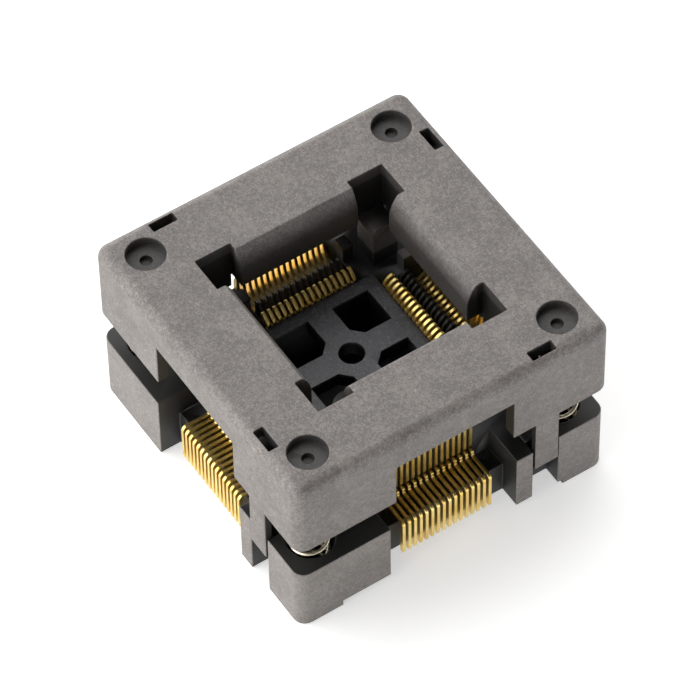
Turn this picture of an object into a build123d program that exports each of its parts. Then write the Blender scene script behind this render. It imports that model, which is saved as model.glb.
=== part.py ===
from build123d import *
from math import cos, radians, sin
import os

# Whole socket in millimetres. The middle of the underside is the origin and +Z is up.
# "out" is a distance from the middle axis towards one side, "along" runs along that side,
# counter-clockwise seen from above, and "up" is a height. All four sides repeat a quarter turn apart.
sides = 4
total_height = 16.35
travel = 2.5

# Rows of contacts: a QFP footprint with leads half a millimetre apart
contacts_per_row = 16
pitch = 0.5
strip = 0.25
comb_rib = 0.2
half_row = contacts_per_row * pitch / 2

# Cover
cover_side = 26.8
cover_corner_radius = 1.0
cover_edge_radius = 0.9
cover_bottom = 9.2
cover_wall = 1.1
roof = 1.15
cover_half = cover_side / 2
roof_bottom = total_height - roof
cover_cavity_half = cover_half - cover_wall
side_cut_half = 5.05
side_cut_top = 13.3

# Opening of the cover: a square with a square notch in every corner and a rounded lip between the notches
opening_half = 6.65
notch_half = 8.05
notch_start = 5.05
lip_half = 7.4
lip_depth = 1.75
lip_bulge = 0.1
opening_wall = 0.5
opening_wall_bottom = 12.75
notch_wall = 0.85
notch_wall_bottom = 11.4

# Cams under the roof, one behind each lip: a wedge that drives the levers of a whole row outwards
cam_inner = 8.75
cam_tip_out = 9.1
cam_tip_up = 10.2
cam_nose = 0.1
cam_slope_start_out = 9.33
cam_slope_end_out = 10.08
cam_slope_end_up = 12.25
cam_outer = 10.2
cam_outer_up = 12.8
cam_end_gap = 0.15
cam_half_length = half_row - cam_end_gap

# Snap legs, their windows in the roof and their slots in the base
leg_along = 8.0
leg_width = 2.0
leg_thickness = 0.6
leg_above_board = 1.25
leg_bottom = travel + leg_above_board
hook_reach = 0.8
hook_height = 1.0
hook_lead = 0.5
window_clearance = 0.05
window_length = leg_width + window_clearance
window_inner = 12.0
slot_clearance = 0.12
slot_start = leg_along - leg_width / 2 - slot_clearance
slot_end = leg_along + leg_width / 2 + slot_clearance
catch_gap = 0.05
catch_underside = leg_bottom + hook_height + catch_gap
catch_groove_out = 11.8
ledge_out = 12.24

# Springs in the four corners
spring_offset = 10.6
spring_radius = 1.35
spring_wire = 0.3
spring_coils = 7.5
spring_stations = 8
spring_wire_sides = 5
pocket_clearance = 0.3
pocket_radius = spring_radius + spring_wire / 2 + pocket_clearance
pocket_floor = 2.2
seat_half = 1.8
seat_up = 13.6
spring_rest_gap = 0.02
recess_radius = 1.5
recess_depth = 0.75
dimple_radius = 0.475
dimple_depth = 0.35

# Base
base_side = 26.6
base_half = base_side / 2
base_corner_radius = 1.0
rail_inner = 9.6
rail_height = 0.5
block_top = 6.05
tab_top = 5.9
left_block_end = 5.5
tab_start = 5.45
core_top = 8.5
core_half = 9.0
core_arm_out = 9.7
core_arm_half = 7.0
bay_out = 11.5
bay_wall_top = 3.6
centre_pocket_half = 4.6
centre_floor_top = 2.0
centre_hole_radius = 1.5
platform_seat_half = 5.42
platform_seat_up = 7.0
trench_floor = 3.4
trench_end_inset = 0.1
trench_half_length = half_row - trench_end_inset
trench_out = 10.0
edge_break = 0.15

# Comb ribs between the contacts, seen along the row
rib_low_top = 7.9
rib_step_out = 6.5
rib_chamfer_out = 6.6
rib_chamfer_up = 8.9
rib_chamfer = 0.4
rib_back_out = 7.3
rib_back_foot_out = 7.45
rib_lever_top = 7.15

# Blocks at the ends of each row and guide posts for the corners of the chip
end_block_near = 7.25
end_block_far = 8.35
end_block_start = 4.03
end_block_end = 4.9
end_block_top = 10.0
post_inner = 5.72
post_outer = 7.85
post_top = 12.1
post_lead = 0.45
post_lead_drop = 0.25

# Platform under the chip
platform_clearance = 0.07
platform_half = platform_seat_half - platform_clearance
platform_top = 8.35
platform_hole_radius = 0.98
platform_window_near = 1.04
platform_window_far = 4.2
platform_window_cut = 0.83
platform_rim = 0.35
platform_rim_drop = 0.12

# Sprung arm of a contact: it turns about the hinge line where the beam leaves the root
hinge_out = 9.6
hinge_up = 4.95
hinge_gap = 0.12
beam_width = 0.5
beam_inner = hinge_out - beam_width / 2
beam_outer = hinge_out + beam_width / 2
beam_foot_up = hinge_up + hinge_gap
bridge_under = 6.8
bridge_top = 7.3
prong_foot_out = 6.4
prong_inner = 5.92
prong_outer = 6.26
prong_throat_up = 8.82
prong_shoulder_up = 9.2
bend_out = 6.06
bend_up = 9.4
tip_out = 5.24
tip_up = 8.6
tip_under_out = 5.42
tip_under_up = 8.4
lever_start_out = 8.75
lever_face_out = 9.36
lever_face_up = 8.5
lever_top_up = 9.9
lever_top_out = 9.7

# Fixed part of a contact: finger, root and gull-wing tail
finger_inner = 5.45
finger_outer = 5.8
finger_top = 8.2
root_top = 3.9
root_head = 1.0
root_head_in = hinge_out - root_head / 2
root_head_out = hinge_out + root_head / 2
root_head_up = hinge_up - hinge_gap
root_fit = 0.02
root_out = trench_out - root_fit
tail_under = 4.1
tail_over = 4.4
tail_bend_out = 12.0
tail_end_out = 12.4
tail_bottom = 0.82
tail_round = 0.25


def row_plane(turn):
    """Upright plane through the middle axis: its x runs outwards through one side, its y up."""
    outward = Vector(1, 0, 0).rotate(Axis.Z, turn)
    return Plane(origin=(0, 0, 0), x_dir=outward, z_dir=(outward.Y, -outward.X, 0))


def contact_places(first, count):
    """Where the contacts with these numbers stand along their row."""
    return [(number - (contacts_per_row - 1) / 2) * pitch for number in range(first, first + count)]


def arm_outline():
    """Sprung arm seen along the row: beam, bridge, prong with its hooked tip, and the lever."""
    return [
        (beam_inner, beam_foot_up),
        (beam_inner, bridge_under),
        (prong_foot_out, bridge_under),
        (prong_inner, bridge_top),
        (prong_inner, prong_throat_up),
        (tip_under_out, tip_under_up),
        (tip_out, tip_up),
        (bend_out, bend_up),
        (prong_outer, prong_shoulder_up),
        (prong_outer, bridge_top),
        (lever_start_out, bridge_top),
        (lever_face_out, lever_face_up),
        (lever_face_out, lever_top_up),
        (lever_top_out, lever_top_up),
        (beam_outer, beam_foot_up),
    ]


def terminal_outline():
    """Fixed part seen along the row: finger under the lead, root between the ribs, bent tail."""
    return [
        (finger_inner, trench_floor),
        (root_out, trench_floor),
        (root_out, tail_under),
        (tail_bend_out, tail_under),
        (tail_bend_out, tail_bottom),
        (tail_end_out, tail_bottom),
        (tail_end_out, tail_over - tail_round),
        (tail_end_out - tail_round, tail_over),
        (root_head_out, tail_over),
        (root_head_out, root_head_up),
        (root_head_in, root_head_up),
        (root_head_in, root_top),
        (finger_outer, root_top),
        (finger_outer, finger_top),
        (finger_inner, finger_top),
    ]


def rib_outline():
    """Comb rib seen along the row: low beside the finger, tall behind the prong, low by the lever."""
    return [
        (platform_seat_half, trench_floor),
        (platform_seat_half, rib_low_top),
        (rib_step_out, rib_low_top),
        (rib_chamfer_out, rib_chamfer_up),
        (rib_chamfer_out + rib_chamfer, rib_chamfer_up + rib_chamfer),
        (rib_back_out, rib_chamfer_up + rib_chamfer),
        (rib_back_foot_out, rib_lever_top),
        (core_arm_out, rib_lever_top),
        (core_arm_out, trench_floor),
    ]


def cam_outline():
    """Cam seen along the row: blunt nose below, sloping outer face above it."""
    return [
        (cam_inner, roof_bottom),
        (cam_inner, cam_tip_up + cam_nose),
        (cam_tip_out, cam_tip_up),
        (cam_slope_start_out, cam_tip_up + cam_nose),
        (cam_slope_end_out, cam_slope_end_up),
        (cam_outer, cam_outer_up),
        (cam_outer, roof_bottom),
    ]


def stamped_contacts(outline, turn, places):
    """Contacts of one outline, cut from strip metal and standing side by side along a row."""
    with BuildPart() as contacts:
        with BuildSketch(*[row_plane(turn).offset(place) for place in places]):
            with BuildLine():
                Polyline(*outline, close=True)
            make_face()
        extrude(amount=strip / 2, both=True)
    return contacts


# Cover: outer shell with its rounded top edge, hollow below the roof
with BuildPart() as cover:
    with BuildSketch(Plane.XY.offset(cover_bottom)):
        RectangleRounded(cover_side, cover_side, cover_corner_radius)
    extrude(amount=total_height - cover_bottom)
    fillet(cover.faces().sort_by(Axis.Z)[-1].edges(), cover_edge_radius)
    with BuildSketch(Plane.XY.offset(cover_bottom)):
        Rectangle(2 * cover_cavity_half, 2 * cover_cavity_half)
    extrude(amount=roof_bottom - cover_bottom, mode=Mode.SUBTRACT)

    # Walls round the opening, deeper round the notches, where the guide posts rise
    with BuildSketch(Plane.XY.offset(opening_wall_bottom)):
        Rectangle(2 * (opening_half + opening_wall), 2 * (opening_half + opening_wall))
        with GridLocations(notch_start + notch_half, notch_start + notch_half, 2, 2):
            Rectangle(
                notch_half - notch_start + 2 * notch_wall,
                notch_half - notch_start + 2 * notch_wall,
            )
    extrude(until=Until.NEXT)
    with BuildSketch(Plane.XY.offset(notch_wall_bottom)):
        with PolarLocations(0, sides):
            with Locations((notch_half + notch_wall, notch_half + notch_wall)):
                Rectangle(
                    notch_half + notch_wall - notch_start,
                    notch_half + notch_wall - notch_start,
                    align=(Align.MAX, Align.MAX),
                )
    extrude(until=Until.NEXT)

    # Spring seats under the corners
    with BuildSketch(Plane.XY.offset(seat_up)):
        with GridLocations(2 * spring_offset, 2 * spring_offset, 2, 2):
            Rectangle(2 * seat_half, 2 * seat_half)
    extrude(until=Until.NEXT)

    # Cams along the four rows
    with BuildSketch(*[row_plane(turn) for turn in range(0, 360, 90)]):
        with BuildLine():
            Polyline(*cam_outline(), close=True)
        make_face()
    extrude(amount=cam_half_length, both=True)

    # Opening through roof and walls, then the rounded lips between the notches
    with BuildSketch(Plane.XY.offset(total_height)):
        Rectangle(2 * opening_half, 2 * opening_half)
        with GridLocations(notch_start + notch_half, notch_start + notch_half, 2, 2):
            Rectangle(notch_half - notch_start, notch_half - notch_start)
    extrude(amount=cover_bottom - total_height, mode=Mode.SUBTRACT)
    with BuildSketch(*[row_plane(turn) for turn in range(0, 360, 90)]):
        with BuildLine():
            lip = ThreePointArc(
                (lip_half, total_height),
                ((lip_half + opening_half) / 2 - lip_bulge, total_height - lip_depth / 2 + lip_bulge),
                (opening_half, total_height - lip_depth),
            )
            Polyline(lip @ 1, (opening_half, total_height), lip @ 0)
        make_face()
    extrude(amount=notch_start, both=True, mode=Mode.SUBTRACT)

    # Cut-outs in the middle of the sides
    with BuildSketch(Plane.XY.offset(cover_bottom)):
        with PolarLocations(0, sides):
            with Locations((cover_half, 0)):
                Rectangle(2 * cover_wall + edge_break, 2 * side_cut_half)
    extrude(amount=side_cut_top - cover_bottom, mode=Mode.SUBTRACT)

    # Windows over the snap legs, then the legs with their hooks
    with BuildSketch(Plane.XY.offset(cover_bottom)):
        with PolarLocations(0, sides):
            with Locations((window_inner, leg_along)):
                Rectangle(
                    cover_half - leg_thickness - window_inner,
                    window_length,
                    align=(Align.MIN, Align.CENTER),
                )
    extrude(amount=total_height - cover_bottom, mode=Mode.SUBTRACT)
    with BuildSketch(*[row_plane(turn).offset(-leg_along) for turn in range(0, 360, 90)]):
        with BuildLine():
            Polyline(
                (cover_half, cover_bottom),
                (cover_half, leg_bottom + edge_break),
                (cover_half - edge_break, leg_bottom),
                (cover_half - leg_thickness - hook_reach + hook_lead, leg_bottom),
                (cover_half - leg_thickness - hook_reach, leg_bottom + hook_lead),
                (cover_half - leg_thickness - hook_reach, leg_bottom + hook_height),
                (cover_half - leg_thickness, leg_bottom + hook_height),
                (cover_half - leg_thickness, cover_bottom),
                close=True,
            )
        make_face()
    extrude(amount=leg_width / 2, both=True)

    # Round recesses with a dimple over the springs
    with BuildSketch(Plane.XY.offset(total_height)):
        with GridLocations(2 * spring_offset, 2 * spring_offset, 2, 2):
            Circle(recess_radius)
    extrude(amount=-recess_depth, mode=Mode.SUBTRACT)
    with BuildSketch(Plane.XY.offset(total_height - recess_depth)):
        with GridLocations(2 * spring_offset, 2 * spring_offset, 2, 2):
            Circle(dimple_radius)
    extrude(amount=-dimple_depth, mode=Mode.SUBTRACT)

# Base: body with corner blocks, core in the middle
with BuildPart() as base:
    with BuildSketch():
        RectangleRounded(base_side, base_side, base_corner_radius)
    extrude(amount=block_top)
    with BuildSketch():
        Rectangle(2 * rail_inner, base_side)
    extrude(amount=rail_height, mode=Mode.SUBTRACT)
    with BuildSketch(Plane.XY.offset(rail_height)):
        Rectangle(2 * core_half, 2 * core_half)
        Rectangle(2 * core_arm_out, 2 * core_arm_half)
        Rectangle(2 * core_arm_half, 2 * core_arm_out)
    extrude(amount=core_top - rail_height)

    # Row-end blocks and guide posts
    with BuildSketch(Plane.XY.offset(core_top)):
        with PolarLocations(0, sides):
            for hand in (-1, 1):
                with Locations((end_block_near, hand * (end_block_start + end_block_end) / 2)):
                    Rectangle(
                        end_block_far - end_block_near,
                        end_block_end - end_block_start,
                        align=(Align.MIN, Align.CENTER),
                    )
    extrude(amount=end_block_top - core_top)
    with BuildSketch(Plane.XY.offset(platform_seat_up)):
        with GridLocations(post_inner + post_outer, post_inner + post_outer, 2, 2):
            Rectangle(post_outer - post_inner, post_outer - post_inner)
    extrude(amount=post_top - platform_seat_up)
    inner_edges = [
        edge
        for edge in base.faces().filter_by_position(Axis.Z, post_top, post_top).edges()
        if max(abs(edge.center().X), abs(edge.center().Y)) < (post_inner + post_outer) / 2 + edge_break
    ]
    chamfer(inner_edges, post_lead_drop, post_lead)

    # Bays for the tails, with the row wall standing at their back
    with BuildSketch():
        with PolarLocations(0, sides):
            with Locations((bay_out, (tab_start - left_block_end) / 2)):
                Rectangle(
                    base_half - bay_out + edge_break,
                    tab_start + left_block_end,
                    align=(Align.MIN, Align.CENTER),
                )
    extrude(amount=block_top, mode=Mode.SUBTRACT)
    with BuildSketch(Plane.XY.offset(bay_wall_top)):
        with PolarLocations(0, sides):
            with Locations((core_arm_out, (tab_start - left_block_end) / 2)):
                Rectangle(
                    base_half - core_arm_out,
                    tab_start + left_block_end,
                    align=(Align.MIN, Align.CENTER),
                )
    extrude(amount=block_top - bay_wall_top, mode=Mode.SUBTRACT)

    # Tabs beside the slots lie a little lower than the blocks
    with BuildSketch(Plane.XY.offset(tab_top)):
        with PolarLocations(0, sides):
            with Locations((core_arm_out, tab_start)):
                Rectangle(
                    base_half - core_arm_out + edge_break,
                    slot_start - tab_start,
                    align=(Align.MIN, Align.MIN),
                )
    extrude(amount=block_top - tab_top, mode=Mode.SUBTRACT)

    # Slots for the snap legs, deeper below the ledge that the hooks catch under
    with BuildSketch():
        with PolarLocations(0, sides):
            with Locations((ledge_out, slot_start)):
                Rectangle(
                    base_half - ledge_out + edge_break,
                    slot_end - slot_start,
                    align=(Align.MIN, Align.MIN),
                )
    extrude(amount=block_top, mode=Mode.SUBTRACT)
    with BuildSketch():
        with PolarLocations(0, sides):
            with Locations((catch_groove_out, slot_start)):
                Rectangle(
                    base_half - catch_groove_out,
                    slot_end - slot_start,
                    align=(Align.MIN, Align.MIN),
                )
    extrude(amount=catch_underside, mode=Mode.SUBTRACT)

    # Pockets for the springs
    with BuildSketch(Plane.XY.offset(pocket_floor)):
        with GridLocations(2 * spring_offset, 2 * spring_offset, 2, 2):
            Circle(pocket_radius)
    extrude(amount=core_top - pocket_floor, mode=Mode.SUBTRACT)

    # Middle: pocket, ledge for the platform and a hole through the floor
    with BuildSketch(Plane.XY.offset(centre_floor_top)):
        Rectangle(2 * centre_pocket_half, 2 * centre_pocket_half)
    extrude(amount=platform_seat_up - centre_floor_top, mode=Mode.SUBTRACT)
    with BuildSketch(Plane.XY.offset(platform_seat_up)):
        Rectangle(2 * platform_seat_half, 2 * platform_seat_half)
    extrude(amount=core_top - platform_seat_up, mode=Mode.SUBTRACT)
    with BuildSketch():
        Circle(centre_hole_radius)
    extrude(amount=centre_floor_top, mode=Mode.SUBTRACT)

    # Trenches for the contacts, then the combs in them
    with BuildSketch(Plane.XY.offset(trench_floor)):
        with PolarLocations(0, sides):
            with Locations((platform_seat_half, 0)):
                Rectangle(
                    trench_out - platform_seat_half,
                    2 * trench_half_length,
                    align=(Align.MIN, Align.CENTER),
                )
    extrude(amount=core_top - trench_floor, mode=Mode.SUBTRACT)
    rib_planes = [
        row_plane(turn).offset(place * pitch - half_row)
        for turn in range(0, 360, 90)
        for place in range(1, contacts_per_row)
    ]
    with BuildSketch(*rib_planes):
        with BuildLine():
            Polyline(*rib_outline(), close=True)
        make_face()
    extrude(amount=comb_rib / 2, both=True)

# Platform: plate with a lowered rim, four windows and a centre hole
with BuildPart() as platform:
    with BuildSketch(Plane.XY.offset(platform_seat_up)):
        Rectangle(2 * platform_half, 2 * platform_half)
    extrude(amount=platform_top - platform_rim_drop - platform_seat_up)
    with BuildSketch(Plane.XY.offset(platform_seat_up)):
        Rectangle(2 * (platform_half - platform_rim), 2 * (platform_half - platform_rim))
    extrude(amount=platform_top - platform_seat_up)
    with BuildSketch(Plane.XY.offset(platform_top)):
        Circle(platform_hole_radius)
        with PolarLocations(0, sides):
            Polygon(
                (platform_window_near, platform_window_near + platform_window_cut),
                (platform_window_near + platform_window_cut, platform_window_near),
                (platform_window_far, platform_window_near),
                (platform_window_far, platform_window_far),
                (platform_window_near, platform_window_far),
                align=None,
            )
    extrude(amount=platform_seat_up - platform_top, mode=Mode.SUBTRACT)


def corner_spring(toward_x, toward_y):
    """Coil spring standing in one corner, from the pocket's floor to the cover's seat.

    The wire runs through square-on sections, a few on every turn, each a little higher than the last."""
    bottom = pocket_floor + spring_rest_gap + spring_wire / 2
    top = seat_up - spring_rest_gap - spring_wire / 2
    stations = round(spring_coils * spring_stations)
    climb = (top - bottom) / spring_coils / radians(360)
    with BuildPart() as spring:
        for station in range(stations + 1):
            angle = radians(360) * station / spring_stations
            outward = Vector(cos(angle), sin(angle), 0)
            middle = Vector(toward_x * spring_offset, toward_y * spring_offset, bottom + climb * angle)
            along_wire = Vector(-spring_radius * sin(angle), spring_radius * cos(angle), climb)
            with BuildSketch(Plane(origin=middle + outward * spring_radius, x_dir=outward, z_dir=along_wire)):
                RegularPolygon(spring_wire / 2, spring_wire_sides)
        loft(ruled=True)
    return spring


os.makedirs("parts", exist_ok=True)
cover.part.label = "cover"
base.part.label = "base"
platform.part.label = "platform"
export_step(cover.part, "parts/cover.step")
export_step(base.part, "parts/base.step")
export_step(platform.part, "parts/platform.step")

spring_corners = {"front_left": (-1, -1), "front_right": (1, -1), "back_right": (1, 1), "back_left": (-1, 1)}
for corner, (toward_x, toward_y) in spring_corners.items():
    spring = corner_spring(toward_x, toward_y)
    spring.part.label = f"spring_{corner}"
    export_step(spring.part, f"parts/spring_{corner}.step")

row_turns = {"right": 0, "back": 90, "left": 180, "front": 270}
for row, turn in row_turns.items():
    for half, first in (("a", 0), ("b", contacts_per_row // 2)):
        places = contact_places(first, contacts_per_row // 2)
        arms = stamped_contacts(arm_outline(), turn, places)
        arms.part.label = f"contact_arms_{row}_{half}"
        export_step(arms.part, f"parts/contact_arms_{row}_{half}.step")
        tails = stamped_contacts(terminal_outline(), turn, places)
        tails.part.label = f"contact_tails_{row}_{half}"
        export_step(tails.part, f"parts/contact_tails_{row}_{half}.step")
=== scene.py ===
import math

import bmesh
import bpy
import numpy as np
from mathutils import Matrix, Vector


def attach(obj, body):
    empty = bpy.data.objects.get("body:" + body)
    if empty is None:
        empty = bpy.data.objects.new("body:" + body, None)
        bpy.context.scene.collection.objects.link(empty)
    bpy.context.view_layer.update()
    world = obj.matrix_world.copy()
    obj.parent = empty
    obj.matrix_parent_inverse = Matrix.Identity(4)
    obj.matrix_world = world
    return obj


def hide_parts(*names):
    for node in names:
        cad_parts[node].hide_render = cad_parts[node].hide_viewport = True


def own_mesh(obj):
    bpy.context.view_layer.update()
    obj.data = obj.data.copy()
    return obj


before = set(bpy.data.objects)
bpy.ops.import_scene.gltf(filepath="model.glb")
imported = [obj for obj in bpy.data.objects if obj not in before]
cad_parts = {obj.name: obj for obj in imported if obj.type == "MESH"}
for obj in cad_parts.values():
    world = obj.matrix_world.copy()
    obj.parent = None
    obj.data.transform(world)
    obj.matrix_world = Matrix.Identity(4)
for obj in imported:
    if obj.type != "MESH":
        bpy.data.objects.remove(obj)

bl_info = {
    "name": "IC test socket",
    "version": (1, 0, 0),
    "blender": (4, 5, 0),
    "location": "3D Viewport > Sidebar > Socket",
    "description": "Contacts, springs, surface finishes and studio of an open-top test socket",
    "category": "Object",
}

MM = 0.001

# Turn of each row of contacts about the vertical axis, in degrees
ROWS = {"right": 0, "back": 90, "left": 180, "front": 270}

# Side of each spring along X and Y
CORNERS = {"front_left": (-1, -1), "front_right": (1, -1), "back_right": (1, 1), "back_left": (-1, 1)}


def node_reach(node):
    """Largest x and largest z of a CAD node, in millimetres."""
    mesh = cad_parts[node].data
    points = np.empty(3 * len(mesh.vertices), np.float32)
    mesh.vertices.foreach_get("co", points)
    return (points.reshape(-1, 3).max(axis=0)[[0, 2]] / MM).tolist()


# Sizes of the solids that the finishes follow, in millimetres
COVER_HALF, COVER_TOP = node_reach("cover")
BASE_HALF = node_reach("base")[0]
PLATFORM_TOP = node_reach("platform")[1]
CORNER_ROUNDING = 1.0
TOP_ROUNDING = 0.95

# Outlines of the contact, in millimetres: distance outward from the middle axis, height above the board
ARM_CORNERS = [
    (9.35, 5.07), (9.35, 6.30), (9.00, 6.62), (6.45, 6.80), (5.92, 7.30), (5.92, 8.82), (5.42, 8.40),
    (5.24, 8.48), (5.22, 8.70), (5.40, 9.02), (5.72, 9.27), (6.06, 9.38), (6.24, 9.22), (6.26, 7.45),
    (6.45, 7.30), (8.40, 7.30),
    (8.80, 7.50), (9.20, 8.10), (9.36, 8.80), (9.36, 9.74), (9.50, 9.90), (9.66, 9.74), (9.85, 9.20),
    (9.85, 5.07),
]
TAIL_CORNERS = [
    (5.45, 3.40), (9.98, 3.40), (9.98, 4.10), (11.85, 4.10), (12.00, 3.95), (12.00, 0.82), (12.40, 0.82),
    (12.40, 4.15), (12.15, 4.40), (10.10, 4.40), (10.10, 4.83), (9.10, 4.83), (9.10, 3.90), (5.80, 3.90),
    (5.80, 8.10), (5.70, 8.20), (5.55, 8.20), (5.45, 8.10),
]

# Points on a rounded corner of an outline, and the largest share of an edge that a rounding takes
CORNER_STEPS = 4
LARGEST_CUT = 0.42

# Web under a window of the roof, which closes the view to the contacts: a dark sheet of painted shade.
# Its profile, and its ends along the row
SHADE_WEB_CORNERS = [(10.22, 15.19), (10.22, 13.78), (11.58, 12.42), (11.72, 12.56), (10.42, 13.86), (10.42, 15.19)]
SHADE_WEB_ENDS = (4.6, 8.78)

# Fineness of a coil, and its gap to each seat in millimetres
WIRE_SIDES = 10
WIRE_STEPS = 330
SEAT_GAP = 0.02
COIL_SHARP_ANGLE = 60

# Closed ends of a coil: share of the even climb, turns over which it holds, and turns over which it changes
END_CLIMB = 0.3
END_TURNS = 0.55
CHANGE_TURNS = 0.5

# Softening of the mouldings: what counts as one point in millimetres, as flat and as sharp in degrees
MERGED = 0.0005
FLAT_ANGLE = 0.5
SHARP_ANGLE = 35

# Round recesses in the cover's top, where the edges are softened less, and the comb of the base, where none
# are
RECESS_PLACE = 10.6
RECESS_REACH = 2.0
RECESS_LEVELS = (COVER_TOP - 2.35, COVER_TOP - 0.15)
RECESS_SOFTNESS = 0.25
COMB_HALF = 10.1

# Matte skin: its depth on the outside, its soft border, and a height that no piece reaches, in millimetres
SKIN_DEPTH = 0.07
SKIN_FADE = 0.01
NO_TOP = 50.0

# Levels in millimetres above which top faces have some matte skin, and its share there
RECESS_SKIN = (COVER_TOP - 1.05, 0.22)
POST_SKIN = (9.9, 0.3)
PLATFORM_SKIN = (PLATFORM_TOP - 0.25, 1.0)

# Walls of the opening in millimetres: how far out the lips reach, where the notches start, and the levels
# between which the share of matte skin climbs from the first to the second. The lower shares down the
# walls and in the notches leave the dark resin there as painted shade
LIP_OUT = 7.5
NOTCH_START = 5.07
LIP_LEVELS = (COVER_TOP - 1.75, COVER_TOP - 0.15)
LIP_SKIN_AND_SHADE_SHARES = (0.2, 0.75)
LIP_FADE = 0.02

# Patterns of the plastic, in millimetres: marks of the flow, bunches of fibres, pits where fibres broke out
FLOW_MARK = 2.4
FIBRE_BUNCH = 0.4
PIT = 0.28

# The mould's grain of about 0.03 mm and fibres of about 0.01 mm are too fine to show, and are drawn this
# coarse
GRAIN = 0.13
FIBRE = 0.16
GRAIN_HEIGHT = 0.03

# Levels of a noise, which lies round 0.5: the places of the three tones, where fibres and pits start and
# end, and the ends of the range that roughness follows
TONES = (0.42, 0.5, 0.58)
FIBRE_BAND = (0.62, 0.74)
PIT_BAND = (0.28, 0.38)
NOISE_RANGE = (0.3, 0.7)
METAL_TONES = (0.35, 0.6)

# Roughness of bare resin, and how far the skin's roughness swings about its mean
RESIN_ROUGHNESS = 0.52
SKIN_SWING = 0.06

# Strength of the grain on bare resin, and what is added on matte skin
RESIN_GRAIN = 0.08
SKIN_GRAIN = 0.32

# Uneven tone of rolled and drawn metal, in millimetres
METAL_CLOUD = 1.2

# Marks of rolling and drawing on metal, about 0.01 mm apart, are too fine to show, and are drawn this
# coarse
STRIP_MARK = 0.12
WIRE_MARK = 0.06

# Surround: the middle of the softbox overhead, and where each light starts and is full. The softbox goes by
# the cosine to its middle, and the others by the y, the x and the z of the direction
SOFTBOX_DIRECTION = (-0.05, 0.56, 0.83)
SOFTBOX_BAND = (0.45, 0.75)
BACK_BAND = (0.05, 0.35)
LEFT_BAND = (-0.5, -0.9)
HORIZON_BAND = (0.26, 0.15)

# Key light: its direction from the middle, and its distance in metres
KEY_DIRECTION = (-0.75, 0.3, 0.6)
KEY_DISTANCE = 0.6


def linear(code):
    """Linear RGBA of an sRGB colour written as six hexadecimal digits."""
    channels = np.array([int(code[i:i + 2], 16) for i in (0, 2, 4)]) / 255
    low, high = channels / 12.92, ((channels + 0.055) / 1.055) ** 2.4
    return (*np.where(channels <= 0.04045, low, high).tolist(), 1.0)


WHITE = linear("ffffff")
FIBRE_COLOUR = linear("b0aaa4")


def add(tree, kind, inputs=(), **settings):
    """Adds one shader node with its settings and inputs.

    Inputs come by name, or as a list in the order of the sockets in use. Each is a constant, an output that
    it is linked from, or a node, which stands for its first output in use."""
    made = tree.nodes.new(kind)
    for name, value in settings.items():
        setattr(made, name, value)
    used = [socket for socket in made.inputs if socket.enabled]
    if isinstance(inputs, dict):
        names = [socket.name for socket in used]
        pairs = [(used[names.index(name)], value) for name, value in inputs.items()]
    else:
        pairs = zip(used, inputs)
    for socket, value in pairs:
        if isinstance(value, bpy.types.Node):
            value = next(output for output in value.outputs if output.enabled)
        if isinstance(value, bpy.types.NodeSocket):
            tree.links.new(value, socket)
        else:
            socket.default_value = value
    return made


def new_material(name):
    """Material with an empty node tree, and the tree."""
    material = bpy.data.materials.new(name)
    material.use_nodes = True
    material.node_tree.nodes.clear()
    return material, material.node_tree


def beyond(tree, place, corner, reach):
    """1 on the outer skin of a rounded block, 0 inside it, in millimetres.

    q is how far |x|, |y| and z lie past `corner`, never below zero. The skin is where |q| is more than
    `reach`."""
    size = add(tree, "ShaderNodeVectorMath", [place], operation="ABSOLUTE")
    past = add(tree, "ShaderNodeVectorMath", [size, Vector(corner) * MM], operation="SUBTRACT")
    past = add(tree, "ShaderNodeVectorMath", [past, (0.0, 0.0, 0.0)], operation="MAXIMUM")
    length = add(tree, "ShaderNodeVectorMath", [past], operation="LENGTH")
    return add(tree, "ShaderNodeMapRange", [length, (reach - SKIN_FADE) * MM, (reach + SKIN_FADE) * MM])


def above(tree, place, height, share):
    """The share over that height in millimetres, 0 below it."""
    level = add(tree, "ShaderNodeSeparateXYZ", [place]).outputs["Z"]
    over = add(tree, "ShaderNodeMath", [level, height * MM], operation="GREATER_THAN")
    return add(tree, "ShaderNodeMath", [over, share], operation="MULTIPLY")


def opening_walls_skin_and_shade(tree, place):
    """Share of matte skin on the opening's walls: most on the lips, less lower down, none in the notches.

    The share climbs with z. It holds where the larger of |x| and |y| is within the lips and the smaller is
    short of the notches. The darker resin left lower down and in the notches is painted shade."""
    level = add(tree, "ShaderNodeSeparateXYZ", [place]).outputs["Z"]
    low, high = LIP_LEVELS
    share = add(tree, "ShaderNodeMapRange", [level, low * MM, high * MM, *LIP_SKIN_AND_SHADE_SHARES])
    size = add(tree, "ShaderNodeVectorMath", [place], operation="ABSOLUTE")
    axes = add(tree, "ShaderNodeSeparateXYZ", [size]).outputs
    for choice, limit in (("MAXIMUM", LIP_OUT), ("MINIMUM", NOTCH_START)):
        axis = add(tree, "ShaderNodeMath", [axes["X"], axes["Y"]], operation=choice)
        start, end = (limit - LIP_FADE) * MM, (limit + LIP_FADE) * MM
        within = add(tree, "ShaderNodeMapRange", [axis, start, end, 1.0, 0.0])
        share = add(tree, "ShaderNodeMath", [share, within], operation="MULTIPLY")
    return share


def cover_skin_and_shade(tree, place):
    """Share of matte skin on the cover: its outside, a little in the recesses, and the opening's walls.

    Down the walls and in the notches the share falls, which paints shade there.
    """
    corner = (COVER_HALF - CORNER_ROUNDING, COVER_HALF - CORNER_ROUNDING, COVER_TOP - TOP_ROUNDING)
    outside = beyond(tree, place, corner, CORNER_ROUNDING - SKIN_DEPTH)
    recesses = above(tree, place, *RECESS_SKIN)
    shell = add(tree, "ShaderNodeMath", [outside, recesses], operation="MAXIMUM")
    return add(tree, "ShaderNodeMath", [shell, opening_walls_skin_and_shade(tree, place)], operation="MAXIMUM")


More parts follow.
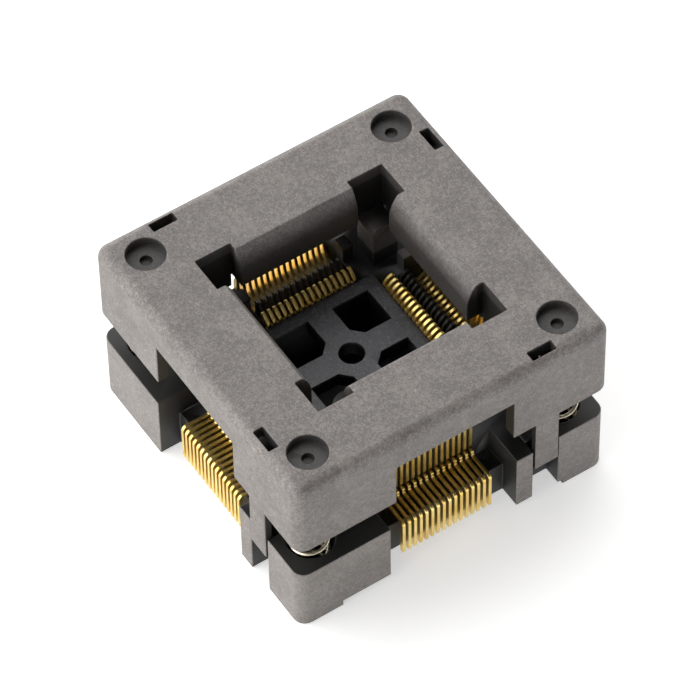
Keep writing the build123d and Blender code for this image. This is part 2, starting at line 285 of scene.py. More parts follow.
def base_skin_and_shade(tree, place):
    """Share of matte skin on the base: its four outer sides, and a little on the tops of the posts.

    Elsewhere the dark resin shows, darkened further as painted shade under the cover.
    """
    corner = (BASE_HALF - CORNER_ROUNDING, BASE_HALF - CORNER_ROUNDING, NO_TOP)
    outside = beyond(tree, place, corner, CORNER_ROUNDING - SKIN_DEPTH)
    return add(tree, "ShaderNodeMath", [outside, above(tree, place, *POST_SKIN)], operation="MAXIMUM")


def platform_skin(tree, place):
    """Share of matte skin on the platform: all of its upper face."""
    return above(tree, place, *PLATFORM_SKIN)


def moulded_plastic(name, finish, skin):
    """Glass-filled moulding compound with the colours, roughness and fibres of `finish`.

    Its tone is 0.78 of a fine pattern, made of bunches of fibres and grain, and 0.22 of the marks of the
    flow. `skin` gives the share of matte skin: where it is 0 the mould was smooth, and the resin shows. On
    inner faces its dark tone also paints the shade there."""
    # Black resin such as polyethersulfone, with short glass fibres in its skin. To the eye it is grey,
    # clouded and matte where the mould was eroded, and nearly black with a faint gloss elsewhere. Inside the
    # socket that near-black is partly the resin and partly painted shade
    material, tree = new_material(name)
    place = add(tree, "ShaderNodeTexCoord").outputs["Object"]
    flow = add(tree, "ShaderNodeTexNoise", {"Vector": place, "Scale": 1 / (FLOW_MARK * MM), "Detail": 4.0,
                                            "Distortion": 0.6})
    bunches = add(tree, "ShaderNodeTexNoise", {"Vector": place, "Scale": 1 / (FIBRE_BUNCH * MM),
                                               "Detail": 3.0, "Roughness": 0.6})
    grain = add(tree, "ShaderNodeTexNoise", {"Vector": place, "Scale": 1 / (GRAIN * MM)})
    holes = add(tree, "ShaderNodeTexNoise", {"Vector": place, "Scale": 1 / (PIT * MM)})
    turned = add(tree, "ShaderNodeMapping", {"Vector": place, "Rotation": (0.3, 0.5, 0.7),
                                             "Scale": (1.0, 0.45, 0.7)})
    threads = add(tree, "ShaderNodeTexNoise", {"Vector": turned, "Scale": 1 / (FIBRE * MM)})

    fine = add(tree, "ShaderNodeMix", [0.55, bunches, grain])
    tone = add(tree, "ShaderNodeMix", [0.22, fine, flow])
    colour = finish.dark
    for start, end, lighter in zip(TONES, TONES[1:], (finish.middle, finish.light)):
        share = add(tree, "ShaderNodeMapRange", [tone, start, end])
        colour = add(tree, "ShaderNodeMix", [share, colour, lighter], data_type="RGBA")
    fibres = add(tree, "ShaderNodeMapRange", [threads, *FIBRE_BAND, 0.0, finish.fibres])
    colour = add(tree, "ShaderNodeMix", [fibres, colour, FIBRE_COLOUR], data_type="RGBA")
    pits = add(tree, "ShaderNodeMapRange", [holes, *PIT_BAND, finish.fibres, 0.0])
    colour = add(tree, "ShaderNodeMix", [pits, colour, finish.dark], data_type="RGBA")

    # Where the share of skin is low the dark resin tone shows, which also paints the shade on inner faces
    matte = skin(tree, place)
    colour = add(tree, "ShaderNodeMix", [matte, finish.resin_and_shade, colour], data_type="RGBA")
    smoothest, roughest = finish.roughness - SKIN_SWING, finish.roughness + SKIN_SWING
    rough = add(tree, "ShaderNodeMapRange", [bunches, *NOISE_RANGE, smoothest, roughest])
    rough = add(tree, "ShaderNodeMix", [matte, RESIN_ROUGHNESS, rough])
    height = add(tree, "ShaderNodeMix", [0.4, grain, bunches])
    strength = add(tree, "ShaderNodeMath", [matte, SKIN_GRAIN, RESIN_GRAIN], operation="MULTIPLY_ADD")
    relief = add(tree, "ShaderNodeBump", {"Height": height, "Strength": strength,
                                          "Distance": GRAIN_HEIGHT * MM})
    surface = add(tree, "ShaderNodeBsdfPrincipled", {"Base Color": colour, "Roughness": rough, "IOR": 1.6,
                                                     "Normal": relief})
    add(tree, "ShaderNodeOutputMaterial", {"Surface": surface})
    return material


def drawn_metal(name, finish, mark):
    """Metal with the colours and roughness of `finish`, its marks stretched five times along the height.

    Its colour is 0.3 of the marks and 0.7 of slow clouds. Its roughness follows the marks."""
    material, tree = new_material(name)
    place = add(tree, "ShaderNodeTexCoord").outputs["Object"]
    stretched = add(tree, "ShaderNodeMapping", {"Vector": place, "Scale": (1.0, 1.0, 0.2)})
    marks = add(tree, "ShaderNodeTexNoise", {"Vector": stretched, "Scale": 1 / (mark * MM)})
    clouds = add(tree, "ShaderNodeTexNoise", {"Vector": place, "Scale": 1 / (METAL_CLOUD * MM)})
    tone = add(tree, "ShaderNodeMix", [0.7, marks, clouds])
    share = add(tree, "ShaderNodeMapRange", [tone, *METAL_TONES])
    colour = add(tree, "ShaderNodeMix", [share, finish.dark, finish.light], data_type="RGBA")
    smoothest, roughest = finish.roughness - 0.04, finish.roughness + 0.06
    rough = add(tree, "ShaderNodeMapRange", [marks, *NOISE_RANGE, smoothest, roughest])
    surface = add(tree, "ShaderNodeBsdfPrincipled", {"Base Color": colour, "Metallic": 1.0,
                                                     "Roughness": rough})
    add(tree, "ShaderNodeOutputMaterial", {"Surface": surface})
    return material


def gold_plating(finish):
    """Gold plated on stamped strip of copper alloy."""
    # Thin plating keeps the marks of the rolled strip: a warm yellow metal with soft, streaked highlights
    return drawn_metal("gold_plating", finish, STRIP_MARK)


def spring_wire(finish):
    """Drawn and coiled spring wire of stainless steel."""
    # Drawing polishes the wire: a pale, slightly warm metal with narrow bright highlights along each turn
    return drawn_metal("spring_wire", finish, WIRE_MARK)


def white_paper(stage):
    """White paper, brighter by `stage.paper` to the camera and to reflected and transmitted rays alone."""
    # Matte paper scatters light evenly: a plain white ground that shows a soft shadow and no highlight
    material, tree = new_material("white_paper")
    matte = add(tree, "ShaderNodeBsdfDiffuse", {"Color": stage.paper_colour})
    rays = add(tree, "ShaderNodeLightPath").outputs
    seen = rays["Is Camera Ray"]
    for ray in ("Is Glossy Ray", "Is Transmission Ray"):
        seen = add(tree, "ShaderNodeMath", [seen, rays[ray]], operation="MAXIMUM")
    strength = add(tree, "ShaderNodeMath", [seen, stage.paper], operation="MULTIPLY")
    glow = add(tree, "ShaderNodeEmission", {"Color": WHITE, "Strength": strength})
    both = add(tree, "ShaderNodeAddShader", [matte, glow])
    add(tree, "ShaderNodeOutputMaterial", {"Surface": both})
    return material


def signed_area(outline):
    """Twice the area of a closed outline, more than zero where it runs anticlockwise."""
    after = np.roll(outline, -1, 0)
    return np.sum(outline[:, 0] * after[:, 1] - after[:, 0] * outline[:, 1])


def rounded(corners, radius, steps):
    """Closed outline with rounded corners.

    Each corner becomes the quadratic curve between the two points that lie `radius` before and after it on
    its edges, or LARGEST_CUT of the shorter edge where that is less."""
    points = np.asarray(corners, float)
    back, ahead = np.roll(points, 1, 0) - points, np.roll(points, -1, 0) - points
    back_length, ahead_length = np.linalg.norm(back, axis=1), np.linalg.norm(ahead, axis=1)
    cut = np.minimum(radius, LARGEST_CUT * np.minimum(back_length, ahead_length))
    start = points + back * (cut / back_length)[:, None]
    end = points + ahead * (cut / ahead_length)[:, None]
    t = np.linspace(0, 1, steps)[None, :, None]
    curves = (1 - t) ** 2 * start[:, None] + 2 * t * (1 - t) * points[:, None] + t ** 2 * end[:, None]
    return curves.reshape(-1, 2)


def inset(outline, depth):
    """Closed outline moved inwards by depth, each point along the mean normal of its two edges."""
    edges = np.roll(outline, -1, 0) - outline
    edges /= np.linalg.norm(edges, axis=1)[:, None]
    normals = np.stack([-edges[:, 1], edges[:, 0]], 1) * np.sign(signed_area(outline))
    normals = normals + np.roll(normals, 1, 0)
    normals /= np.linalg.norm(normals, axis=1)[:, None]
    return outline + normals * depth


def bars(outlines, stations, places, turns):
    """Points and faces of bars that lie along a row.

    A bar is a stack of closed outlines (outward, up), one at each station along the row. Quads join an
    outline to the next, and the first and the last are closed. The bar repeats at `places` along the row,
    and the row at `turns` in degrees about the vertical axis. At turn t a point stands at
    (out cos t - along sin t, out sin t + along cos t, up)."""
    outlines = np.asarray(outlines, float)
    stack, count = outlines.shape[:2]
    along = np.asarray(places, float)[:, None, None] + np.asarray(stations, float)[None, :, None]
    angle = np.radians(np.asarray(turns, float))[:, None, None, None]
    out, up = outlines[None, None, :, :, 0], outlines[None, None, :, :, 1]
    x = out * np.cos(angle) - along * np.sin(angle)
    y = out * np.sin(angle) + along * np.cos(angle)
    points = np.stack([x, y, np.broadcast_to(up, x.shape)], -1).reshape(-1, 3)

    here = np.arange(count)
    after = np.roll(here, -1)
    quad = np.stack([here, here + count, after + count, after], 1)
    sides = (quad[None] + count * np.arange(stack - 1)[:, None, None]).reshape(-1, 4)
    first, last = here, (here + (stack - 1) * count)[::-1]
    if signed_area(outlines[0]) < 0:
        sides, first, last = sides[:, ::-1], first[::-1], last[::-1]
    starts = stack * count * np.arange(len(places) * len(turns))[:, None]
    faces = (sides[None] + starts[:, :, None]).reshape(-1, 4).tolist()
    return points, faces + (first[None] + starts).tolist() + (last[None] + starts).tolist()


def stamped_row(outline, places, turn, thickness, edge):
    """Points and faces of a row of contacts stamped from strip.

    A contact is its outline carried across the strip: full size inside, and moved inwards by the rolled
    edge on the two outer faces."""
    half = thickness / 2
    small = inset(outline, edge)
    return bars([small, outline, outline, small], [-half, edge - half, half - edge, half], places, [turn])


def coil(middle, bottom, top, radius, wire, turns, start):
    """Points and faces of a compression spring with closed ends.

    Angle a runs from `start` through `turns` full turns. The centreline is (radius cos a, radius sin a,
    h(a)). h climbs slowly up to END_TURNS from each end, evenly in the middle, and changes over
    CHANGE_TURNS between them. The wire is a circle round the centreline, in the plane of the outward
    direction and the binormal."""
    share = np.linspace(0, 1, WIRE_STEPS)
    from_end = np.minimum(share, 1 - share) * turns
    climb = END_CLIMB + (1 - END_CLIMB) * np.clip((from_end - END_TURNS) / CHANGE_TURNS, 0, 1)
    climb = np.cumsum(climb) - climb[0]
    height = bottom + wire / 2 + (top - bottom - wire) * climb / climb[-1]
    angle = start + share * turns * 2 * np.pi
    outward = np.stack([np.cos(angle), np.sin(angle), np.zeros(WIRE_STEPS)], 1)
    centre = radius * outward
    centre += np.stack([np.full(WIRE_STEPS, middle[0]), np.full(WIRE_STEPS, middle[1]), height], 1)
    tangent = np.gradient(centre, axis=0)
    tangent /= np.linalg.norm(tangent, axis=1)[:, None]
    binormal = np.cross(tangent, outward)
    around = np.linspace(0, 2 * np.pi, WIRE_SIDES, endpoint=False)[None, :, None]
    circle = np.cos(around) * outward[:, None] + np.sin(around) * binormal[:, None]
    points = centre[:, None] + wire / 2 * circle
    index = np.arange(WIRE_STEPS * WIRE_SIDES).reshape(WIRE_STEPS, WIRE_SIDES)
    beside = np.roll(index, -1, 1)
    quads = np.stack([index[:-1], index[1:], beside[1:], beside[:-1]], -1).reshape(-1, 4)
    return points.reshape(-1, 3), quads.tolist() + [index[0].tolist(), index[-1][::-1].tolist()]


def new_piece(name, points, faces, body, material, sharp_angle=SHARP_ANGLE):
    """Piece from points in millimetres that rides on a body, smooth except over edges past the angle."""
    mesh = bpy.data.meshes.new(name)
    mesh.from_pydata((np.asarray(points) * MM).tolist(), [], faces)
    mesh.update()
    mesh.polygons.foreach_set("use_smooth", np.ones(len(mesh.polygons), bool))
    mesh.set_sharp_from_angle(angle=math.radians(sharp_angle))
    made = bpy.data.objects.new(name, mesh)
    bpy.context.scene.collection.objects.link(made)
    mesh.materials.append(material)
    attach(made, body)
    return made


def softened(name, node, body, material, width, softness=None):
    """Copy of a CAD node with its sharp edges rounded by the width in metres.

    The loose triangles are merged and flat ones joined. An edge between faces that meet at more than
    SHARP_ANGLE is rounded, times the `softness` of its middle, given in millimetres, where there is such a
    function."""
    mesh = bpy.data.meshes.new(name)
    work = bmesh.new()
    work.from_mesh(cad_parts[node].data)
    bmesh.ops.remove_doubles(work, verts=work.verts, dist=MERGED * MM)
    bmesh.ops.dissolve_limit(work, angle_limit=math.radians(FLAT_ANGLE), verts=work.verts, edges=work.edges,
                             use_dissolve_boundaries=False)
    weight = work.edges.layers.float.new("bevel_weight_edge")
    for edge in work.edges:
        if len(edge.link_faces) == 2 and edge.calc_face_angle(0.0) > math.radians(SHARP_ANGLE):
            middle = (edge.verts[0].co + edge.verts[1].co) / 2 / MM
            edge[weight] = softness(middle) if softness else 1.0
    work.to_mesh(mesh)
    work.free()
    mesh.polygons.foreach_set("use_smooth", np.ones(len(mesh.polygons), bool))
    mesh.set_sharp_from_angle(angle=math.radians(SHARP_ANGLE))
    mesh.materials.append(material)
    made = bpy.data.objects.new(name, mesh)
    bpy.context.scene.collection.objects.link(made)
    bevel = made.modifiers.new("edges", "BEVEL")
    bevel.limit_method = "WEIGHT"
    bevel.width = width
    bevel.segments = 2
    bevel.use_clamp_overlap = False
    bevel.miter_outer = "MITER_ARC"
    normals = made.modifiers.new("normals", "WEIGHTED_NORMAL")
    normals.weight = 100
    normals.keep_sharp = True
    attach(made, body)
    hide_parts(node)
    return made


def cover_softness(place):
    """1, or less for an edge in a recess of the cover's top."""
    low, high = RECESS_LEVELS
    apart = math.hypot(abs(place.x) - RECESS_PLACE, abs(place.y) - RECESS_PLACE)
    return RECESS_SOFTNESS if apart < RECESS_REACH and low < place.z < high else 1.0


def base_softness(place):
    """1 outside the comb, 0 on its thin ribs."""
    return 1.0 if max(abs(place.x), abs(place.y)) > COMB_HALF else 0.0


def white_floor(stage):
    """Square floor of white paper round the middle."""
    half = stage.floor / 2
    mesh = bpy.data.meshes.new("floor")
    corners = [(-half, -half, 0), (half, -half, 0), (half, half, 0), (-half, half, 0)]
    mesh.from_pydata(corners, [], [(0, 1, 2, 3)])
    mesh.materials.append(white_paper(stage))
    floor = bpy.data.objects.new("floor", mesh)
    bpy.context.scene.collection.objects.link(floor)


def photo_camera(stage):
    """Camera at its place, looking at its target, turned about its own axis by the roll."""
    data = bpy.data.cameras.new("camera")
    data.lens = stage.lens
    data.sensor_width = 36
    data.clip_end = 10
    camera = bpy.data.objects.new("camera", data)
    bpy.context.scene.collection.objects.link(camera)
    towards = (Vector(stage.camera_place) - Vector(stage.camera_target)).to_track_quat("Z", "Y").to_matrix()
    turned = towards @ Matrix.Rotation(stage.camera_roll, 3, "Z")
    camera.matrix_world = Matrix.Translation(stage.camera_place) @ turned.to_4x4()
    bpy.context.scene.camera = camera


def key_light(stage):
    """Round softbox at the left that faces the middle."""
    data = bpy.data.lights.new("key", "AREA")
    data.energy = stage.key
    data.shape = "DISK"
    data.size = stage.key_size
    key = bpy.data.objects.new("key", data)
    bpy.context.scene.collection.objects.link(key)
    place = Vector(KEY_DIRECTION).normalized() * KEY_DISTANCE
    key.matrix_world = Matrix.Translation(place) @ place.to_track_quat("Z", "Y").to_matrix().to_4x4()


def surround(stage):
    """World that lights the socket like the photograph's room, and is plain white to the camera.

    Brightness = dim + (bright - dim) over back + left wall + horizon low. Here over, back, wall and low are
    shares that climb smoothly from 0 to 1 over their bands of directions."""
    world = bpy.data.worlds.new("surround")
    bpy.context.scene.world = world
    world.use_nodes = True
    tree = world.node_tree
    tree.nodes.clear()
    direction = add(tree, "ShaderNodeTexCoord").outputs["Generated"]
    softbox = Vector(SOFTBOX_DIRECTION).normalized()
    cosine = add(tree, "ShaderNodeVectorMath", [direction, softbox], operation="DOT_PRODUCT")
    axes = add(tree, "ShaderNodeSeparateXYZ", [direction]).outputs
    bands = ((cosine, SOFTBOX_BAND), (axes["Y"], BACK_BAND), (axes["X"], LEFT_BAND),
             (axes["Z"], HORIZON_BAND))
    over, back, wall, low = (
        add(tree, "ShaderNodeMapRange", [value, start, full], interpolation_type="SMOOTHSTEP")
        for value, (start, full) in bands
    )
    both = add(tree, "ShaderNodeMath", [over, back], operation="MULTIPLY")
    level = add(tree, "ShaderNodeMath", [both, stage.bright - stage.dim, stage.dim], operation="MULTIPLY_ADD")
    level = add(tree, "ShaderNodeMath", [wall, stage.left, level], operation="MULTIPLY_ADD")
    level = add(tree, "ShaderNodeMath", [low, stage.horizon, level], operation="MULTIPLY_ADD")
    light = add(tree, "ShaderNodeBackground", {"Color": WHITE, "Strength": level})
    white = add(tree, "ShaderNodeBackground", {"Color": WHITE, "Strength": 1.0})
    camera_ray = add(tree, "ShaderNodeLightPath").outputs["Is Camera Ray"]
    shown = add(tree, "ShaderNodeMixShader", [camera_ray, light, white])
    add(tree, "ShaderNodeOutputWorld", {"Surface": shown})


class CoverSettings(bpy.types.PropertyGroup):
    """Finish of the moulded cover."""
    edge: bpy.props.FloatProperty(
        name="Edges", description="Rounding of sharp edges", default=0.07 * MM, unit="LENGTH", precision=5)
    roughness: bpy.props.FloatProperty(
        name="Roughness", description="Mean roughness of the matte skin", default=0.56,
        subtype="FACTOR", min=0.1, max=0.9)
    fibres: bpy.props.FloatProperty(
        name="Fibres", description="How strongly fibres and pits show", default=0.5,
        subtype="FACTOR", min=0.0, max=1.0)
    dark: bpy.props.FloatVectorProperty(
        name="Dark", description="Darkest tone of the skin", size=4, subtype="COLOR",
        min=0.0, max=1.0, default=linear("67615e"))
    middle: bpy.props.FloatVectorProperty(
        name="Middle", description="Mean tone of the skin", size=4, subtype="COLOR",
        min=0.0, max=1.0, default=linear("78726e"))
    light: bpy.props.FloatVectorProperty(
        name="Light", description="Lightest tone of the skin", size=4, subtype="COLOR",
        min=0.0, max=1.0, default=linear("8b8580"))
    # On the opening's walls and in the notches this dark tone is painted shade
    resin_and_shade: bpy.props.FloatVectorProperty(
        name="Resin", description="Bare resin on smooth inner faces", size=4, subtype="COLOR",
        min=0.0, max=1.0, default=linear("212020"))


class BaseSettings(bpy.types.PropertyGroup):
    """Finish of the moulded base."""
    edge: bpy.props.FloatProperty(
        name="Edges", description="Rounding of sharp edges", default=0.07 * MM, unit="LENGTH", precision=5)
    roughness: bpy.props.FloatProperty(
        name="Roughness", description="Mean roughness of the matte skin", default=0.56,
        subtype="FACTOR", min=0.1, max=0.9)
    fibres: bpy.props.FloatProperty(
        name="Fibres", description="How strongly fibres and pits show", default=0.4,
        subtype="FACTOR", min=0.0, max=1.0)
    # The base's tones are paler than the cover's, though both are one compound: the difference is painted
    # light
    dark: bpy.props.FloatVectorProperty(
        name="Dark", description="Darkest tone of the skin", size=4, subtype="COLOR",
        min=0.0, max=1.0, default=linear("736d69"))
    middle: bpy.props.FloatVectorProperty(
        name="Middle", description="Mean tone of the skin", size=4, subtype="COLOR",
        min=0.0, max=1.0, default=linear("807a76"))
    light: bpy.props.FloatVectorProperty(
        name="Light", description="Lightest tone of the skin", size=4, subtype="COLOR",
        min=0.0, max=1.0, default=linear("908a85"))
    # Darker than the cover's resin: the extra darkness is painted shade on the base's inner faces under the
    # cover
    resin_and_shade: bpy.props.FloatVectorProperty(
        name="Resin", description="Bare resin on smooth inner faces", size=4, subtype="COLOR",
        min=0.0, max=1.0, default=linear("151515"))


class PlatformSettings(bpy.types.PropertyGroup):
    """Finish of the chip's platform."""
    edge: bpy.props.FloatProperty(
        name="Edges", description="Rounding of sharp edges", default=0.03 * MM, unit="LENGTH", precision=5)
    roughness: bpy.props.FloatProperty(
        name="Roughness", description="Mean roughness of the matte skin", default=0.45,
        subtype="FACTOR", min=0.1, max=0.9)
    fibres: bpy.props.FloatProperty(
        name="Fibres", description="How strongly fibres and pits show", default=0.3,
        subtype="FACTOR", min=0.0, max=1.0)
    dark: bpy.props.FloatVectorProperty(
        name="Dark", description="Darkest tone of the upper face", size=4, subtype="COLOR",
        min=0.0, max=1.0, default=linear("353539"))
    middle: bpy.props.FloatVectorProperty(
        name="Middle", description="Mean tone of the upper face", size=4, subtype="COLOR",
        min=0.0, max=1.0, default=linear("434347"))
    light: bpy.props.FloatVectorProperty(
        name="Light", description="Lightest tone of the upper face", size=4, subtype="COLOR",
        min=0.0, max=1.0, default=linear("555459"))
    resin_and_shade: bpy.props.FloatVectorProperty(
        name="Resin", description="Bare resin below the upper face", size=4, subtype="COLOR",
        min=0.0, max=1.0, default=linear("0c0c0c"))


class ContactSettings(bpy.types.PropertyGroup):
    """Stamping and plating of the contacts."""
    count: bpy.props.IntProperty(
        name="Contacts per row", description="Contacts on one side", default=16, min=1)
    pitch: bpy.props.FloatProperty(
        name="Pitch", description="Distance between contacts", default=0.5 * MM, unit="LENGTH", precision=5)
    thickness: bpy.props.FloatProperty(
        name="Strip", description="Thickness of the strip", default=0.25 * MM, unit="LENGTH", precision=5)
    edge: bpy.props.FloatProperty(
        name="Rolled edge", description="Rounding of the stamped edges", default=0.022 * MM, unit="LENGTH",
        precision=6)
    bend: bpy.props.FloatProperty(
        name="Corner", description="Rounding of the outline's corners", default=0.14 * MM, unit="LENGTH",
        precision=5)
    roughness: bpy.props.FloatProperty(
        name="Roughness", description="Roughness of the plating", default=0.33,
        subtype="FACTOR", min=0.1, max=0.9)
    dark: bpy.props.FloatVectorProperty(
        name="Dark", description="Deeper tone of the gold", size=4, subtype="COLOR",
        min=0.0, max=1.0, default=linear("edc96c"))
    light: bpy.props.FloatVectorProperty(
        name="Light", description="Paler tone of the gold", size=4, subtype="COLOR",
        min=0.0, max=1.0, default=linear("ffe596"))


class SpringSettings(bpy.types.PropertyGroup):
    """Shape and wire of the corner springs."""
    offset: bpy.props.FloatProperty(
        name="Offset", description="Distance from the middle along X and Y", default=10.78 * MM,
        unit="LENGTH", precision=5)
    radius: bpy.props.FloatProperty(
        name="Mean radius", description="Radius of the wire's centreline", default=1.35 * MM, unit="LENGTH",
        precision=5)
    wire: bpy.props.FloatProperty(
        name="Wire", description="Diameter of the wire", default=0.3 * MM, unit="LENGTH", precision=5)
    turns: bpy.props.FloatProperty(
        name="Turns", description="Number of turns, closed ends included", default=9.2)
    start: bpy.props.FloatProperty(
        name="Lower end's place", description="Direction in which the wire ends", default=math.radians(108),
        subtype="ANGLE")
    bottom: bpy.props.FloatProperty(
        name="Lower end", description="Floor of the pocket in the base", default=2.2 * MM, unit="LENGTH",
        precision=5)
    top: bpy.props.FloatProperty(
        name="Upper end", description="Seat in the cover", default=13.6 * MM, unit="LENGTH", precision=5)
    travel: bpy.props.FloatProperty(
        name="Travel", description="Way of the cover when pressed", default=2.5 * MM, unit="LENGTH",
        precision=5)
    roughness: bpy.props.FloatProperty(
        name="Roughness", description="Roughness of the wire", default=0.28,
        subtype="FACTOR", min=0.1, max=0.9)
    dark: bpy.props.FloatVectorProperty(
        name="Dark", description="Deeper tone of the wire", size=4, subtype="COLOR",
        min=0.0, max=1.0, default=linear("cdc2a8"))
    light: bpy.props.FloatVectorProperty(
        name="Light", description="Paler tone of the wire", size=4, subtype="COLOR",
        min=0.0, max=1.0, default=linear("efe7d2"))


class StageSettings(bpy.types.PropertyGroup):
    """Camera, paper and light of the photograph."""
    lens: bpy.props.FloatProperty(name="Lens", description="Focal length", default=272.57, unit="CAMERA")
    camera_place: bpy.props.FloatVectorProperty(
        name="Camera", description="Place of the camera", default=(-0.12534, -0.19536, 0.31503),
        subtype="TRANSLATION", unit="LENGTH", precision=5)
    camera_target: bpy.props.FloatVectorProperty(
        name="Target", description="Point in the middle of the picture", default=(0.000189, 0.000526, 0.008),
        subtype="TRANSLATION", unit="LENGTH", precision=6)
    camera_roll: bpy.props.FloatProperty(
        name="Roll", description="Turn of the camera about its own axis", default=math.radians(-1.093),
        subtype="ANGLE")
    key: bpy.props.FloatProperty(
        name="Key light", description="Power of the light at the left", default=1.15, unit="POWER")
    key_size: bpy.props.FloatProperty(
        name="Key size", description="Width of the key light", default=0.8, unit="LENGTH")
    bright: bpy.props.FloatProperty(
        name="Bright side", description="Brightness of the softbox overhead", default=1.75)
    left: bpy.props.FloatProperty(
        name="Left side", description="Brightness of the wall at the left", default=1.15)
    dim: bpy.props.FloatProperty(
        name="Dim side", description="Brightness of the rest of the room", default=0.1)
    horizon: bpy.props.FloatProperty(
        name="Horizon", description="Brightness of the low band all round", default=2.1)
    floor: bpy.props.FloatProperty(name="Floor", description="Side of the paper", default=3.0, unit="LENGTH")
    paper: bpy.props.FloatProperty(
        name="Paper white", description="Brightness added to the paper as seen", default=0.5)
    paper_colour: bpy.props.FloatVectorProperty(
        name="Paper", description="Colour of the paper", size=4, subtype="COLOR",
        min=0.0, max=1.0, default=linear("f7f7f6"))


class SOCKET_OT_cover(bpy.types.Operator):
    """Finish of the moulded cover"""
    bl_idname = "socket.cover"
    bl_label = "Cover"

    def execute(self, context):
        # Mid-grey outside, with pale flecks of fibre, and darker down the walls of the opening as painted
        # shade
        finish = context.scene.socket_cover
        plastic = moulded_plastic("cover_glass_filled_plastic", finish, cover_skin_and_shade)
        piece = softened("moulded_cover", "cover", "cover", plastic, finish.edge, cover_softness)
        return {"FINISHED"}


class SOCKET_OT_shade_webs(bpy.types.Operator):
    """Webs under the windows of the cover's roof, in the cover's plastic: dark sheets of painted shade"""
    bl_idname = "socket.window_webs"
    bl_label = "Window webs"

    def execute(self, context):
        plastic = bpy.data.materials["cover_glass_filled_plastic"]
        # Each web is a dark sheet that stands in for the shade seen through a roof window
        points, faces = bars([SHADE_WEB_CORNERS, SHADE_WEB_CORNERS], SHADE_WEB_ENDS, [0.0], list(ROWS.values()))
        new_piece("window_webs", points, faces, "cover", plastic)
        return {"FINISHED"}


class SOCKET_OT_base(bpy.types.Operator):
    """Finish of the moulded base"""
    bl_idname = "socket.base"
    bl_label = "Base"

    def execute(self, context):
        # The cover's compound, a little paler outside as painted light, and nearly black in its bays and on
        # its
        # comb: dark resin, darkened further as painted shade
        finish = context.scene.socket_base
        plastic = moulded_plastic("base_glass_filled_plastic", finish, base_skin_and_shade)
        piece = softened("moulded_base", "base", "socket_base", plastic, finish.edge, base_softness)
        return {"FINISHED"}


class SOCKET_OT_platform(bpy.types.Operator):
    """Finish of the chip's platform"""
    bl_idname = "socket.platform"
    bl_label = "Platform"

    def execute(self, context):
        # A darker and smoother compound: charcoal on its upper face, and black in its windows
        finish = context.scene.socket_platform
        plastic = moulded_plastic("platform_plastic", finish, platform_skin)
        piece = softened("chip_platform", "platform", "socket_base", plastic, finish.edge)
        return {"FINISHED"}


class SOCKET_OT_contacts(bpy.types.Operator):
    """Contacts with rolled edges and bends, one row of arms and one of tails on each side"""
    bl_idname = "socket.contacts"
    bl_label = "Contacts"

    def execute(self, context):
        settings = context.scene.socket_contacts
        gold = gold_plating(settings)
        places = (np.arange(settings.count) - (settings.count - 1) / 2) * settings.pitch / MM
        thickness, edge = settings.thickness / MM, settings.edge / MM
        for kind, corners in (("arms", ARM_CORNERS), ("tails", TAIL_CORNERS)):
            outline = rounded(corners, settings.bend / MM, CORNER_STEPS)
            for row, turn in ROWS.items():
                points, faces = stamped_row(outline, places, turn, thickness, edge)
                body = f"arms_{row}" if kind == "arms" else "socket_base"
                piece = new_piece(f"gold_{kind}_{row}", points, faces, body, gold)
                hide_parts(f"contact_{kind}_{row}_a", f"contact_{kind}_{row}_b")
        return {"FINISHED"}


class SOCKET_OT_springs(bpy.types.Operator):
    """Four compression springs with closed ends, at the corners of the base"""
    bl_idname = "socket.springs"
    bl_label = "Springs"

    def execute(self, context):
        settings = context.scene.socket_springs
        steel = spring_wire(settings)
        offset, radius, wire = settings.offset / MM, settings.radius / MM, settings.wire / MM
        bottom, top = settings.bottom / MM + SEAT_GAP, settings.top / MM - SEAT_GAP
        for corner, (x, y) in CORNERS.items():
            middle = (x * offset, y * offset)
            points, faces = coil(middle, bottom, top, radius, wire, settings.turns, settings.start)
            piece = new_piece(f"coil_{corner}", points, faces, "socket_base", steel, COIL_SHARP_ANGLE)
            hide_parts(f"spring_{corner}")
            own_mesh(piece)
        return {"FINISHED"}


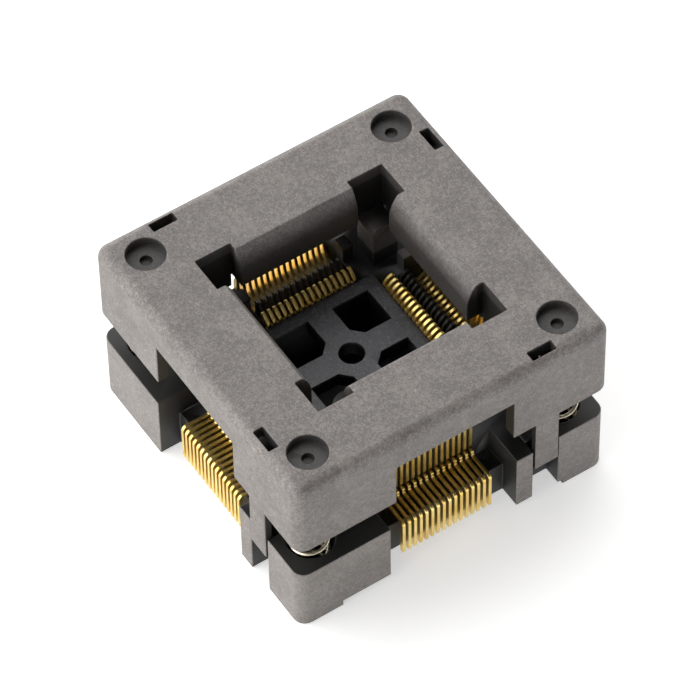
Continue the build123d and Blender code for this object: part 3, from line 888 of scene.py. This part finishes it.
class SOCKET_OT_stage(bpy.types.Operator):
    """White floor, camera and lights of the photograph"""
    bl_idname = "socket.stage"
    bl_label = "Stage"

    def execute(self, context):
        stage = context.scene.socket_stage
        white_floor(stage)
        photo_camera(stage)
        key_light(stage)
        surround(stage)
        context.scene.view_settings.view_transform = "Standard"
        return {"FINISHED"}


class VIEW3D_PT_socket(bpy.types.Panel):
    """Sidebar panel with the settings and steps of the socket"""
    bl_label = "IC test socket"
    bl_idname = "VIEW3D_PT_socket"
    bl_space_type = "VIEW_3D"
    bl_region_type = "UI"
    bl_category = "Socket"

    def draw(self, context):
        for piece, group in SETTINGS.items():
            box = self.layout.box()
            box.label(text=piece.capitalize())
            for name in group.__annotations__:
                box.prop(getattr(context.scene, f"socket_{piece}"), name)
        for operator in OPERATORS:
            self.layout.operator(operator.bl_idname)


SETTINGS = {"cover": CoverSettings, "base": BaseSettings, "platform": PlatformSettings,
            "contacts": ContactSettings, "springs": SpringSettings, "stage": StageSettings}
OPERATORS = (SOCKET_OT_cover, SOCKET_OT_shade_webs, SOCKET_OT_base, SOCKET_OT_platform, SOCKET_OT_contacts,
             SOCKET_OT_springs, SOCKET_OT_stage)
CLASSES = (*SETTINGS.values(), *OPERATORS, VIEW3D_PT_socket)


def register():
    """Registers the classes and puts their settings on the scene."""
    for cls in CLASSES:
        bpy.utils.register_class(cls)
    for piece, group in SETTINGS.items():
        setattr(bpy.types.Scene, f"socket_{piece}", bpy.props.PointerProperty(type=group))


def unregister():
    """Takes the settings and the classes away again."""
    for piece in SETTINGS:
        delattr(bpy.types.Scene, f"socket_{piece}")
    for cls in reversed(CLASSES):
        bpy.utils.unregister_class(cls)


def main():
    """Runs every step in order."""
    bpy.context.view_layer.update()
    register()
    bpy.ops.socket.cover()
    bpy.ops.socket.window_webs()
    bpy.ops.socket.base()
    bpy.ops.socket.platform()
    bpy.ops.socket.contacts()
    bpy.ops.socket.springs()
    bpy.ops.socket.stage()


if __name__ == "__main__":
    main()
